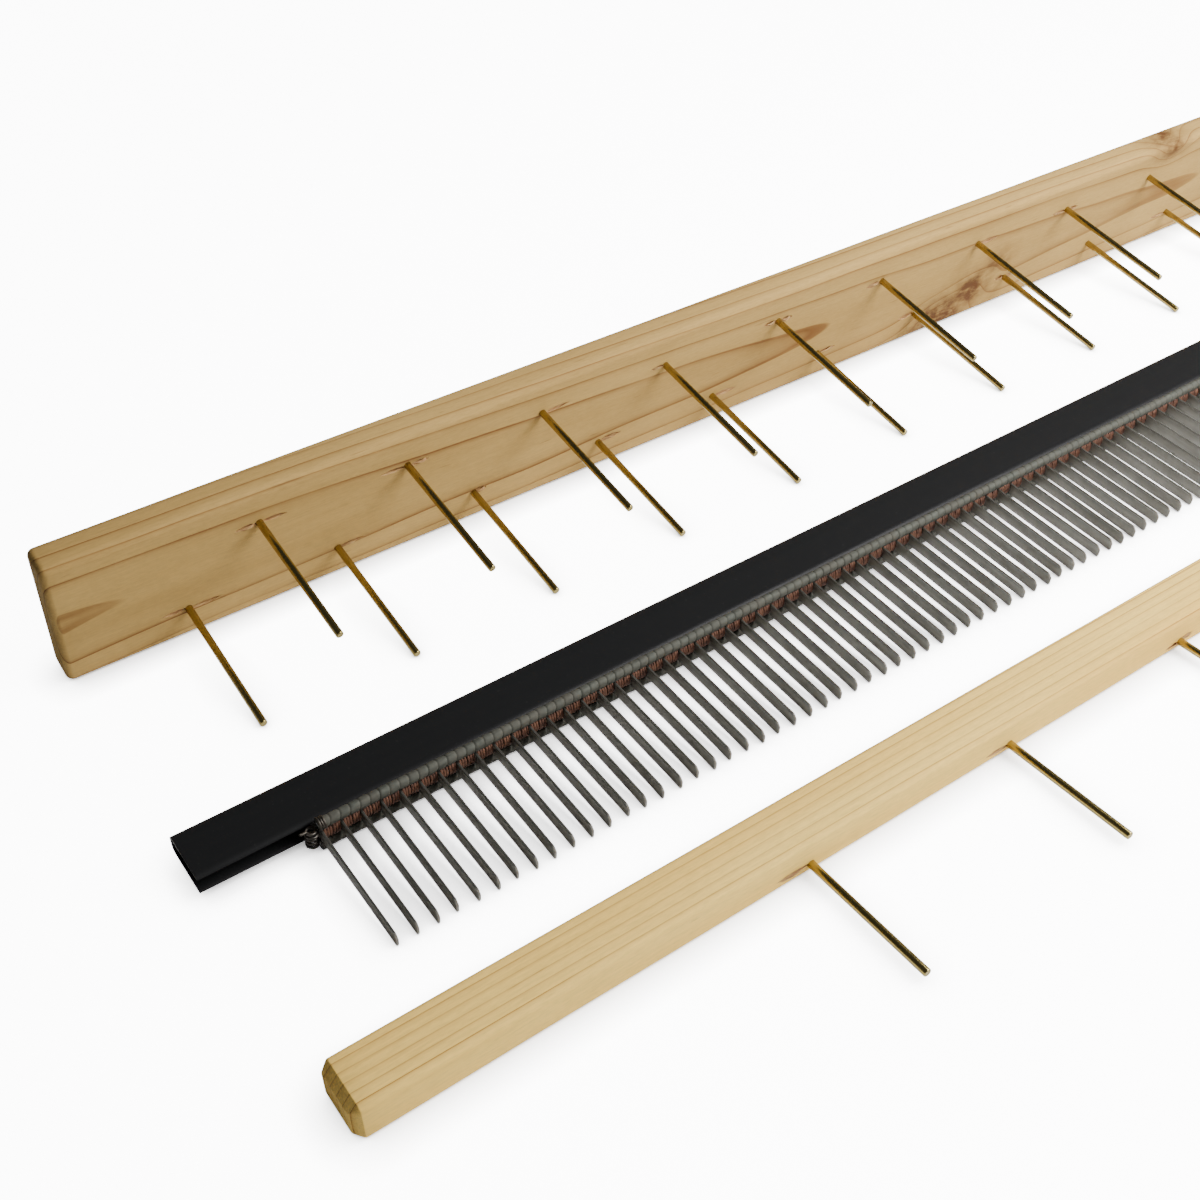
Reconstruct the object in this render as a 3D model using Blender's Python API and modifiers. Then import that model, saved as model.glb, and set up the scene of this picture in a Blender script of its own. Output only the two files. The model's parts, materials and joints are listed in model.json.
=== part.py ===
"""Warp-spreading set for a weaving loom: three long bars lying side by side on a table.

1. A double-row bar: a wooden board standing on its narrow edge, with two staggered rows of
   brass pins in its front face.  It leans forward until its lower pins touch the table.
2. An open reed: flat steel dents held side by side between two wire-wrapped ribs, with their
   butt ends pushed into the slot of a black plastic channel.
3. A single-row bar: a narrower wooden bar lying flat, with one row of widely spaced pins.

Units are metres, +Z is up, the table is z = 0, the bars run along X and their pins and dents
point to -Y.  The origin is on the table, under the middle of the whole set.
"""

from math import asin, atan2, cos, pi, radians, sin

import bmesh
import bpy
from mathutils import Matrix

# ---- driving dimensions ------------------------------------------------------------------

BAR_LENGTH = 0.790
EDGE_ROUND = 0.003          # rounding of both wooden bars' edges
EDGE_SEGMENTS = 3
SHARP_ANGLE = radians(40)   # round pieces are shaded smooth up to this crease
MESH_GAP = 0.0003           # clearance kept between pieces that touch or are pressed together

PIN_RADIUS = 0.0012
PIN_SIDES = 12
PIN_TIP_CHAMFER = 0.0004
HOLE_OVERRUN = 0.004        # the hole cutters start this far outside the face

DOUBLE_BAR_THICKNESS = 0.012
DOUBLE_BAR_HEIGHT = 0.050
DOUBLE_PIN_PITCH = 0.0508   # two inches between the pins of one row
DOUBLE_PIN_OUT = 0.0503     # how far a pin stands out of the front face
DOUBLE_PIN_IN = 0.0090      # how deep it is pressed into the board
LOWER_ROW_HEIGHT = 0.0124
UPPER_ROW_HEIGHT = 0.0372
LOWER_PIN_COUNT = 15
UPPER_PIN_COUNT = 14
DOUBLE_FIRST_PIN = 0.0394   # from the board's left end to its first lower pin

SINGLE_BAR_DEPTH = 0.017
SINGLE_BAR_HEIGHT = 0.012
SINGLE_PIN_PITCH = 0.0732
SINGLE_PIN_OUT = 0.0418
SINGLE_PIN_IN = 0.0105
SINGLE_ROW_HEIGHT = 0.0032
SINGLE_PIN_COUNT = 8
SINGLE_FIRST_PIN = 0.1314

CHANNEL_DEPTH = 0.017
CHANNEL_WALL = 0.0010
CHANNEL_CORNER = 0.0022     # outer rounding of the channel's two back corners
CHANNEL_CORNER_STEPS = 4

DENT_COUNT = 123
DENT_PITCH = 0.00592
DENT_THICKNESS = 0.0007
DENT_HEIGHT = 0.0041
DENT_TOP_CHAMFER = 0.0017
DENT_FOOT_CHAMFER = 0.0007
DENT_BUTT_LENGTH = 0.012    # inside the channel's slot
DENT_FIRST = 0.0333         # from the channel's left end to the first dent
MERGE_DISTANCE = 1e-6       # joins the doubled points where an outline's faces and sides meet

RIB_TUBE_RADIUS = 0.00165   # outside of the wire wrapping of each rib
RIB_TUBE_WALL = 0.0005
RIB_SIDES = 12
RIB_SET_FORWARD = 0.0024    # rib centres in front of the channel's front edge
RIB_OVERHANG = 0.0006       # rib ends beyond the outermost dents
RIB_TO_TIP = 0.04035        # from the rib centres to the dents' tips
SPACER_DEPTH = 0.0016       # wire packing between the dents, seen from above
SPACER_HEIGHT = 0.0035

TIE_WIRE_RADIUS = 0.0004
TIE_COIL_RADIUS = 0.0014
TIE_TURNS = 3
TIE_PITCH = 0.0013
TIE_POINTS_PER_TURN = 10
TIE_OFFSET = 0.0026         # from the outermost dent to the tie's own axis

# Where the bars lie: the front bottom edge of each, behind (+Y) or in front of the set's
# reference line, and its middle along X.
DOUBLE_BAR_AT = (0.0006, 0.0)
CHANNEL_AT = (-0.0005, -0.0972)
SINGLE_BAR_AT = (-0.0003, -0.1846)
CHANNEL_YAW = radians(0.46)
EMPTY_SIZE = 0.02

# ---- sizes worked out from them ----------------------------------------------------------

RIB_TO_DENT = RIB_TUBE_RADIUS + MESH_GAP
PIN_HOLE_RADIUS = PIN_RADIUS + MESH_GAP
SLOT_HEIGHT = DENT_HEIGHT + 2 * MESH_GAP
CHANNEL_HEIGHT = SLOT_HEIGHT + 2 * CHANNEL_WALL
REED_SPAN = (DENT_COUNT - 1) * DENT_PITCH


def lean_of_double_bar():
    """Angle at which the rounded bottom edge and the lower pins' tips both rest on z = 0."""
    across = DOUBLE_PIN_OUT + EDGE_ROUND
    up = LOWER_ROW_HEIGHT - EDGE_ROUND - PIN_RADIUS
    return atan2(up, across) + asin(EDGE_ROUND / (across ** 2 + up ** 2) ** 0.5)


def slope_of_reed():
    """Angle at which the lower rib and the dents' tips both rest on z = 0."""
    reach = (RIB_TO_TIP ** 2 + RIB_TO_DENT ** 2) ** 0.5
    return asin(RIB_TUBE_RADIUS / reach) + atan2(RIB_TO_DENT, RIB_TO_TIP)


BAR_LEAN = lean_of_double_bar()
REED_SLOPE = slope_of_reed()

# The virtual (unrounded) bottom edge of the leaning board lies a little below the table.
DOUBLE_BAR_DROP = EDGE_ROUND * (cos(BAR_LEAN) + sin(BAR_LEAN) - 1)

# The channel's front bottom edge is held above the table by the reed inside it.
CHANNEL_LIFT = ((RIB_SET_FORWARD + RIB_TO_TIP) * sin(REED_SLOPE)
                - (CHANNEL_WALL + MESH_GAP) * cos(REED_SLOPE))

REAR_LIMIT = (EDGE_ROUND + (DOUBLE_BAR_THICKNESS - EDGE_ROUND) * cos(BAR_LEAN)
              - EDGE_ROUND * sin(BAR_LEAN))
FRONT_LIMIT = SINGLE_BAR_AT[1] - SINGLE_PIN_OUT
SET_MIDDLE_Y = (REAR_LIMIT + FRONT_LIMIT) / 2


# ---- scene, collections and materials ----------------------------------------------------

def clear_scene():
    for obj in list(bpy.data.objects):
        bpy.data.objects.remove(obj, do_unlink=True)


def new_collection(name):
    collection = bpy.data.collections.new(name)
    bpy.context.scene.collection.children.link(collection)
    return collection


def new_material(name, color, roughness, metallic=0.0):
    material = bpy.data.materials.new(name)
    material.use_nodes = True
    shader = material.node_tree.nodes["Principled BSDF"]
    shader.inputs["Base Color"].default_value = (*color, 1.0)
    shader.inputs["Roughness"].default_value = roughness
    shader.inputs["Metallic"].default_value = metallic
    return material


clear_scene()
PARTS = new_collection("warp_spreading_set")
CUTTERS = new_collection("cutters")

TAN_WOOD = new_material("tan_wood", (0.50, 0.36, 0.20), 0.6)
PALE_WOOD = new_material("pale_wood", (0.70, 0.56, 0.36), 0.6)
BRASS = new_material("brass", (0.62, 0.42, 0.14), 0.3, 1.0)
BLACK_PLASTIC = new_material("black_plastic", (0.012, 0.012, 0.012), 0.45)
DENT_STEEL = new_material("dent_steel", (0.22, 0.21, 0.19), 0.4, 1.0)
WRAP_STEEL = new_material("wrap_steel", (0.20, 0.20, 0.18), 0.5, 1.0)
ROD_STEEL = new_material("rod_steel", (0.30, 0.30, 0.30), 0.4, 1.0)


# ---- building helpers --------------------------------------------------------------------

def add_object(name, data, parent, material, location=(0, 0, 0)):
    """One visible sub-part, placed under the empty that carries its bar."""
    obj = bpy.data.objects.new(name, data)
    PARTS.objects.link(obj)
    obj.parent = parent
    obj.location = location
    if not data.materials:
        data.materials.append(material)
    return obj


def add_empty(name, location, rotation=(0, 0, 0), parent=None):
    empty = bpy.data.objects.new(name, None)
    empty.empty_display_size = EMPTY_SIZE
    PARTS.objects.link(empty)
    empty.parent = parent
    empty.location = location
    empty.rotation_euler = rotation
    return empty


def add_cutter(name, data, parent, location=(0, 0, 0)):
    """A helper solid for a Boolean, kept out of the model."""
    cutter = bpy.data.objects.new(name, data)
    CUTTERS.objects.link(cutter)
    cutter.parent = parent
    cutter.location = location
    cutter.hide_render = True
    cutter.display_type = "WIRE"
    return cutter


def boolean(obj, cutter, operation):
    modifier = obj.modifiers.new(operation.lower(), "BOOLEAN")
    modifier.object = cutter
    modifier.operation = operation
    modifier.solver = "EXACT"


def mesh_from(name, bm, smooth=False):
    mesh = bpy.data.meshes.new(name)
    bm.to_mesh(mesh)
    bm.free()
    if smooth:
        mesh.shade_smooth()
        mesh.set_sharp_from_angle(angle=SHARP_ANGLE)
    return mesh


def block_mesh(name, size, center):
    bm = bmesh.new()
    placing = Matrix.Translation(center) @ Matrix.Diagonal((*size, 1.0))
    bmesh.ops.create_cube(bm, size=1.0, matrix=placing)
    return mesh_from(name, bm)


def pin_mesh(name, length_out, length_in):
    """A pin along -Y: its tip at -length_out, its root at +length_in, with a chamfered tip."""
    length = length_out + length_in
    placing = Matrix.Translation((0, (length_in - length_out) / 2, 0)) @ Matrix.Rotation(pi / 2, 4, "X")
    bm = bmesh.new()
    bmesh.ops.create_cone(bm, cap_ends=True, segments=PIN_SIDES, radius1=PIN_RADIUS,
                          radius2=PIN_RADIUS, depth=length, matrix=placing)
    tip_edges = [edge for edge in bm.edges
                 if all(vert.co.y < PIN_TIP_CHAMFER - length_out for vert in edge.verts)]
    bmesh.ops.bevel(bm, geom=tip_edges, offset=PIN_TIP_CHAMFER, segments=1, affect="EDGES")
    return mesh_from(name, bm, smooth=True)


def pin_hole_cutter(name, centers, depth, parent):
    """All of a bar's blind pin holes as one cutter; each hole starts outside the face y = 0."""
    inside = depth + MESH_GAP
    bm = bmesh.new()
    for x, z in centers:
        placing = Matrix.Translation((x, (inside - HOLE_OVERRUN) / 2, z)) @ Matrix.Rotation(pi / 2, 4, "X")
        bmesh.ops.create_cone(bm, cap_ends=True, segments=PIN_SIDES, radius1=PIN_HOLE_RADIUS,
                              radius2=PIN_HOLE_RADIUS, depth=inside + HOLE_OVERRUN, matrix=placing)
    return add_cutter(name, mesh_from(name, bm), parent)


def add_wooden_bar(name, thickness, height, parent, material, pin_centers, pin_depth):
    """A rounded bar with its front face on y = 0, its underside on z = 0 and blind pin holes."""
    mesh = block_mesh(name, (BAR_LENGTH, thickness, height), (0, thickness / 2, height / 2))
    bar = add_object(name, mesh, parent, material)
    bevel = bar.modifiers.new("rounded_edges", "BEVEL")
    bevel.width = EDGE_ROUND
    bevel.segments = EDGE_SEGMENTS
    bevel.limit_method = "ANGLE"
    boolean(bar, pin_hole_cutter(name + "_pin_holes", pin_centers, pin_depth, parent), "DIFFERENCE")
    return bar


def outline_mesh(name, points, thickness):
    """A flat closed outline (x, y) with its thickness centred on z = 0, as a closed mesh."""
    curve = bpy.data.curves.new(name + "_outline", "CURVE")
    curve.dimensions = "2D"
    curve.fill_mode = "BOTH"
    curve.extrude = thickness / 2
    spline = curve.splines.new("POLY")
    spline.points.add(len(points) - 1)
    for point, (x, y) in zip(spline.points, points):
        point.co = (x, y, 0, 1)
    spline.use_cyclic_u = True
    holder = bpy.data.objects.new(name + "_outline", curve)
    CUTTERS.objects.link(holder)
    bpy.context.view_layer.update()
    evaluated = holder.evaluated_get(bpy.context.evaluated_depsgraph_get())
    mesh = bpy.data.meshes.new_from_object(evaluated)
    bpy.data.objects.remove(holder, do_unlink=True)
    bm = bmesh.new()
    bm.from_mesh(mesh)
    bmesh.ops.remove_doubles(bm, verts=bm.verts, dist=MERGE_DISTANCE)
    bmesh.ops.recalc_face_normals(bm, faces=bm.faces)
    bm.to_mesh(mesh)
    bm.free()
    return mesh


# ---- 1: the double-row bar ---------------------------------------------------------------

def row_of_x(first, pitch, count):
    return [first - BAR_LENGTH / 2 + i * pitch for i in range(count)]


def build_double_row_bar():
    x, y = DOUBLE_BAR_AT
    place = add_empty("double_bar_place", (x, y - SET_MIDDLE_Y, -DOUBLE_BAR_DROP), (BAR_LEAN, 0, 0))
    lower = row_of_x(DOUBLE_FIRST_PIN, DOUBLE_PIN_PITCH, LOWER_PIN_COUNT)
    upper = row_of_x(DOUBLE_FIRST_PIN + DOUBLE_PIN_PITCH / 2, DOUBLE_PIN_PITCH, UPPER_PIN_COUNT)
    centers = [(px, LOWER_ROW_HEIGHT) for px in lower] + [(px, UPPER_ROW_HEIGHT) for px in upper]
    add_wooden_bar("double_row_bar", DOUBLE_BAR_THICKNESS, DOUBLE_BAR_HEIGHT, place, TAN_WOOD,
                   centers, DOUBLE_PIN_IN)
    pin = pin_mesh("double_bar_pin", DOUBLE_PIN_OUT, DOUBLE_PIN_IN)
    for number, px in enumerate(lower, 1):
        add_object(f"lower_pin_{number:02d}", pin, place, BRASS, (px, 0, LOWER_ROW_HEIGHT))
    for number, px in enumerate(upper, 1):
        add_object(f"upper_pin_{number:02d}", pin, place, BRASS, (px, 0, UPPER_ROW_HEIGHT))


# ---- 2: the single-row bar ---------------------------------------------------------------

def build_single_row_bar():
    x, y = SINGLE_BAR_AT
    place = add_empty("single_bar_place", (x, y - SET_MIDDLE_Y, 0))
    row = row_of_x(SINGLE_FIRST_PIN, SINGLE_PIN_PITCH, SINGLE_PIN_COUNT)
    add_wooden_bar("single_row_bar", SINGLE_BAR_DEPTH, SINGLE_BAR_HEIGHT, place, PALE_WOOD,
                   [(px, SINGLE_ROW_HEIGHT) for px in row], SINGLE_PIN_IN)
    pin = pin_mesh("single_bar_pin", SINGLE_PIN_OUT, SINGLE_PIN_IN)
    for number, px in enumerate(row, 1):
        add_object(f"front_pin_{number}", pin, place, BRASS, (px, 0, SINGLE_ROW_HEIGHT))


# ---- 3: the channel and the reed in it ---------------------------------------------------

def channel_profile():
    """Centre of the sheet from the front lip over the top, round the back and under (y, z)."""
    wall = CHANNEL_WALL / 2
    radius = CHANNEL_CORNER - wall
    back = CHANNEL_DEPTH - wall
    low, high = wall, CHANNEL_HEIGHT - wall
    points = [(0.0, high)]
    for corner_z, start in ((high - radius, pi / 2), (low + radius, 0.0)):
        for step in range(CHANNEL_CORNER_STEPS + 1):
            angle = start - step * (pi / 2) / CHANNEL_CORNER_STEPS
            points.append((back - radius + radius * cos(angle), corner_z + radius * sin(angle)))
    points.append((0.0, low))
    return points


def build_channel(place):
    """The channel's profile drawn out along X, thickened to its wall, open at both ends."""
    bm = bmesh.new()
    verts = [bm.verts.new((-BAR_LENGTH / 2, y, z)) for y, z in channel_profile()]
    edges = [bm.edges.new(pair) for pair in zip(verts, verts[1:])]
    drawn = bmesh.ops.extrude_edge_only(bm, edges=edges)["geom"]
    moved = [item for item in drawn if isinstance(item, bmesh.types.BMVert)]
    bmesh.ops.translate(bm, verts=moved, vec=(BAR_LENGTH, 0, 0))
    channel = add_object("reed_channel", mesh_from("reed_channel", bm), place, BLACK_PLASTIC)
    shell = channel.modifiers.new("wall", "SOLIDIFY")
    shell.thickness = CHANNEL_WALL
    shell.offset = 0
    shell.use_even_offset = True


def dent_outline():
    """Side view of one dent: y along it (tip negative), z across it, with the tip chamfered."""
    tip = -(RIB_SET_FORWARD + RIB_TO_TIP)
    half = DENT_HEIGHT / 2
    return [(DENT_BUTT_LENGTH, half), (tip + DENT_TOP_CHAMFER, half),
            (tip, half - DENT_TOP_CHAMFER), (tip, DENT_FOOT_CHAMFER - half),
            (tip + DENT_FOOT_CHAMFER, -half), (DENT_BUTT_LENGTH, -half)]


def build_comb(place, dent_middle):
    """All dents in a row, joined through the wire packing that spaces them."""
    stand_up = Matrix(((0, 0, 1, 0), (1, 0, 0, 0), (0, 1, 0, 0), (0, 0, 0, 1)))
    mesh = outline_mesh("reed_dents", dent_outline(), DENT_THICKNESS)
    mesh.transform(stand_up)
    dents = add_object("reed_dents", mesh, place, DENT_STEEL, (-REED_SPAN / 2, 0, dent_middle))
    row = dents.modifiers.new("row", "ARRAY")
    row.count = DENT_COUNT
    row.use_relative_offset = False
    row.use_constant_offset = True
    row.constant_offset_displace = (DENT_PITCH, 0, 0)
    packing = block_mesh("wire_packing", (REED_SPAN, SPACER_DEPTH, SPACER_HEIGHT),
                         (0, -RIB_SET_FORWARD, dent_middle))
    boolean(dents, add_cutter("wire_packing", packing, place), "UNION")


def cylinder_along_x(radius, length, cap_ends):
    bm = bmesh.new()
    bmesh.ops.create_cone(bm, cap_ends=cap_ends, segments=RIB_SIDES, radius1=radius, radius2=radius,
                          depth=length, matrix=Matrix.Rotation(pi / 2, 4, "Y"))
    return bm


def build_rib(name, place, height):
    """A straight rod and, round it, the closed sleeve of its wire wrapping."""
    length = REED_SPAN + 2 * RIB_OVERHANG
    location = (0, -RIB_SET_FORWARD, height)
    rod_radius = RIB_TUBE_RADIUS - RIB_TUBE_WALL - MESH_GAP
    rod = mesh_from(name + "_rod", cylinder_along_x(rod_radius, length, True), smooth=True)
    add_object(name + "_rod", rod, place, ROD_STEEL, location)
    sleeve = mesh_from(name + "_wrap", cylinder_along_x(RIB_TUBE_RADIUS, length, False), smooth=True)
    wrap = add_object(name + "_wrap", sleeve, place, WRAP_STEEL, location)
    wall = wrap.modifiers.new("wall", "SOLIDIFY")
    wall.thickness = RIB_TUBE_WALL
    wall.offset = -1


def build_tie(name, place, x, height):
    """A short upright coil of wire that closes the wrapping at one end of the reed."""
    curve = bpy.data.curves.new(name, "CURVE")
    curve.dimensions = "3D"
    curve.bevel_depth = TIE_WIRE_RADIUS
    curve.bevel_resolution = 2
    curve.use_fill_caps = True
    spline = curve.splines.new("POLY")
    last = TIE_TURNS * TIE_POINTS_PER_TURN
    spline.points.add(last)
    for index, point in enumerate(spline.points):
        turn = index / TIE_POINTS_PER_TURN
        angle = 2 * pi * turn
        point.co = (TIE_COIL_RADIUS * cos(angle), TIE_COIL_RADIUS * sin(angle),
                    (turn - TIE_TURNS / 2) * TIE_PITCH, 1)
    add_object(name, curve, place, WRAP_STEEL, (x, -RIB_SET_FORWARD, height))


def build_reed():
    x, y = CHANNEL_AT
    place = add_empty("reed_place", (x, y - SET_MIDDLE_Y, CHANNEL_LIFT), (REED_SLOPE, 0, CHANNEL_YAW))
    dent_middle = CHANNEL_HEIGHT / 2
    rib_offset = DENT_HEIGHT / 2 + RIB_TO_DENT
    build_channel(place)
    reed = add_empty("reed_in_channel", (DENT_FIRST - (BAR_LENGTH - REED_SPAN) / 2, 0, 0), parent=place)
    build_comb(reed, dent_middle)
    build_rib("upper_rib", reed, dent_middle + rib_offset)
    build_rib("lower_rib", reed, dent_middle - rib_offset)
    build_tie("left_end_tie", reed, -REED_SPAN / 2 - TIE_OFFSET, dent_middle)
    build_tie("right_end_tie", reed, REED_SPAN / 2 + TIE_OFFSET, dent_middle)


build_double_row_bar()
build_single_row_bar()
build_reed()
bpy.context.view_layer.update()
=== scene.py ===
import json
import random
from math import cos, pi, radians, sin

import bmesh
import bpy
from mathutils import Matrix, Vector, noise


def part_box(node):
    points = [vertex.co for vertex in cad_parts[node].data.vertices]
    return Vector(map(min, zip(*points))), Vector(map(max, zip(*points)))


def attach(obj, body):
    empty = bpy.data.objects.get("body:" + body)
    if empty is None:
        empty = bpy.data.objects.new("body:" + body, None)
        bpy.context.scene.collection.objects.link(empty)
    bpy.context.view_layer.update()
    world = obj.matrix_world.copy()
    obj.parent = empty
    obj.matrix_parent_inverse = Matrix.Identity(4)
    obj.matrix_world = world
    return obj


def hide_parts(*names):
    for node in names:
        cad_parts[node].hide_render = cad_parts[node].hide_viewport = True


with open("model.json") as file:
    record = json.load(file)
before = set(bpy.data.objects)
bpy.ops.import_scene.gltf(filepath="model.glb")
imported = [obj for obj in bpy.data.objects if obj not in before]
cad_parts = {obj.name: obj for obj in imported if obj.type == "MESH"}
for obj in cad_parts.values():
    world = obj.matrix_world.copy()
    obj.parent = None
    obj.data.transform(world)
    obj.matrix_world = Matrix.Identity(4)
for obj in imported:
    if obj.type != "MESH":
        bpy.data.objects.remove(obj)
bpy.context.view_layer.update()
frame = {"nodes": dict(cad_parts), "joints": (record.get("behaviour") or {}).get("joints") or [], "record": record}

# A leaning board with two rows of brass pins, an open steel reed held in a black channel, and a
# slim bar with one row of pins, all loose.  Everything is in metres.  Each bar is built in its
# own straight frame (X along it, -Y out of its front, Z up) and then placed where the CAD says.

DOUBLE, SINGLE, CHANNEL, REED = "double_row_bar", "single_row_bar", "reed_channel", "reed"

# ---- sizes repeated from the CAD ---------------------------------------------------------

BAR_LENGTH = 0.790
EDGE_ROUND = 0.003
DOUBLE_BAR = (0.012, 0.050)             # thickness, height
SINGLE_BAR = (0.017, 0.012)
PIN_RADIUS = 0.0012
DOUBLE_PIN = (0.0503, 0.0090)           # standing out, pressed in
SINGLE_PIN = (0.0418, 0.0105)
CHANNEL_DEPTH = 0.017
CHANNEL_HEIGHT = 0.0067
CHANNEL_WALL = 0.0010
CHANNEL_CORNER = 0.0022
DENT_COUNT = 123
DENT_PITCH = 0.00592
DENT_HEIGHT = 0.0041
DENT_THICKNESS = 0.0007
DENT_BUTT = 0.012
RIB_RADIUS = 0.00165
RIB_FORWARD = 0.0024
RIB_TO_TIP = 0.04035
RIB_OVERHANG = 0.0006
TOUCH_GAP = 0.0003


# ---- where the CAD puts each bar ---------------------------------------------------------

def mount(name):
    found = next(m for m in frame["record"]["mounts"] if m["name"] == name)
    return Vector(found["pos_m"]), Vector(found["axis"]).normalized()


def joint_axis(name):
    return Vector(next(j for j in frame["joints"] if j["name"] == name)["axis"]).normalized()


def place(along, back, origin):
    """The bar's own frame as a matrix: X along it, Y towards its back."""
    up = along.cross(back).normalized()
    columns = Matrix((along, back, up)).transposed().to_4x4()
    columns.translation = origin
    return columns


def double_place():
    point, back = mount("double_row_bar_back")
    along = Vector((1, 0, 0))
    up = along.cross(back)
    return place(along, back, point - DOUBLE_BAR[0] * back - DOUBLE_BAR[1] / 2 * up)


def single_place():
    point, back = mount("single_row_bar_back")
    return place(Vector((1, 0, 0)), back, point - SINGLE_BAR[0] * back - Vector((0, 0, SINGLE_BAR[1] / 2)))


def channel_place():
    point, up = mount("reed_channel_top")
    along = joint_axis("reed_slide")
    back = up.cross(along).normalized()
    return place(along, back, point - CHANNEL_DEPTH / 2 * back - CHANNEL_HEIGHT * up)


DOUBLE_PLACE = double_place()
SINGLE_PLACE = single_place()
CHANNEL_PLACE = channel_place()
REED_SPAN = (DENT_COUNT - 1) * DENT_PITCH
DENT_MIDDLE = CHANNEL_HEIGHT / 2


def reed_place():
    """The reed's frame: the channel's, moved along it to the middle of the upper rib."""
    low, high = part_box("upper_rib_rod")
    middle = CHANNEL_PLACE.inverted() @ ((low + high) / 2)
    return CHANNEL_PLACE @ Matrix.Translation((middle.x, 0, 0))


REED_PLACE = reed_place()


def pin_nodes(prefix):
    return sorted(name for name in frame["nodes"] if name.startswith(prefix))


def node_seat(node, bar_place):
    """A pin's place in its bar: where its own axis crosses the bar's front face."""
    low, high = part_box(node)
    middle = bar_place.inverted() @ ((low + high) / 2)
    return Vector((middle.x, 0, middle.z))


# ---- meshes ------------------------------------------------------------------------------

def smooth(mesh, degrees=35):
    mesh.shade_smooth()
    mesh.set_sharp_from_angle(angle=radians(degrees))
    return mesh


def mesh_of_rings(name, rings):
    """A skin over rings of points that all have the same count, with flat caps."""
    bm = bmesh.new()
    loops = [[bm.verts.new(point) for point in ring] for ring in rings]
    count = len(loops[0])
    for near, far in zip(loops, loops[1:]):
        for i in range(count):
            j = (i + 1) % count
            bm.faces.new((near[i], near[j], far[j], far[i]))
    bm.faces.new(loops[0])
    bm.faces.new(loops[-1])
    bmesh.ops.recalc_face_normals(bm, faces=bm.faces)
    mesh = bpy.data.meshes.new(name)
    bm.to_mesh(mesh)
    bm.free()
    return mesh


def join_meshes(name, parts):
    """Several (points, faces) lists as one mesh."""
    points, faces = [], []
    for part_points, part_faces in parts:
        start = len(points)
        points.extend(part_points)
        faces.extend([tuple(start + i for i in face) for face in part_faces])
    mesh = bpy.data.meshes.new(name)
    mesh.from_pydata(points, [], faces)
    mesh.validate()
    mesh.update()
    return mesh


def ring_faces(ring_count, per_ring, closed_path=False):
    """Faces between rings of points; a path that doesn't close on itself gets flat caps."""
    faces = []
    last = ring_count if closed_path else ring_count - 1
    for a in range(last):
        b = (a + 1) % ring_count
        for i in range(per_ring):
            j = (i + 1) % per_ring
            faces.append((a * per_ring + i, b * per_ring + i, b * per_ring + j, a * per_ring + j))
    if not closed_path:
        faces.append(tuple(range(per_ring)))
        faces.append(tuple((ring_count - 1) * per_ring + i for i in reversed(range(per_ring))))
    return faces


def arc(center, radius, start, end, steps):
    """Points of an arc, angles in degrees, both ends included."""
    angles = [radians(start + (end - start) * k / steps) for k in range(steps + 1)]
    return [(center[0] + radius * cos(a), center[1] + radius * sin(a)) for a in angles]


def rounded_rectangle(width, height, radius, inset=0.0, steps=6):
    """Points round a rectangle from (0, 0) to (width, height), drawn inwards by inset."""
    r = max(radius - inset, 0.00015)
    low_y, low_z = inset + r, inset + r
    high_y, high_z = width - inset - r, height - inset - r
    points = []
    for center, start in (((high_y, high_z), 0), ((low_y, high_z), 90),
                          ((low_y, low_z), 180), ((high_y, low_z), 270)):
        points += arc(center, r, start, start + 90, steps)
    return points


def add(name, mesh, where, body, slot, material, *nodes):
    """A finished piece at its bar's place, riding on its body and standing for CAD nodes."""
    piece = bpy.data.objects.new(name, mesh)
    bpy.context.scene.collection.objects.link(piece)
    piece.matrix_world = where
    mesh.materials.clear()
    mesh.materials.append(material)
    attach(piece, body)
    if nodes:
        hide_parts(*nodes)
    return piece


# ---- materials ---------------------------------------------------------------------------

EULER = 2.718


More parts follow.
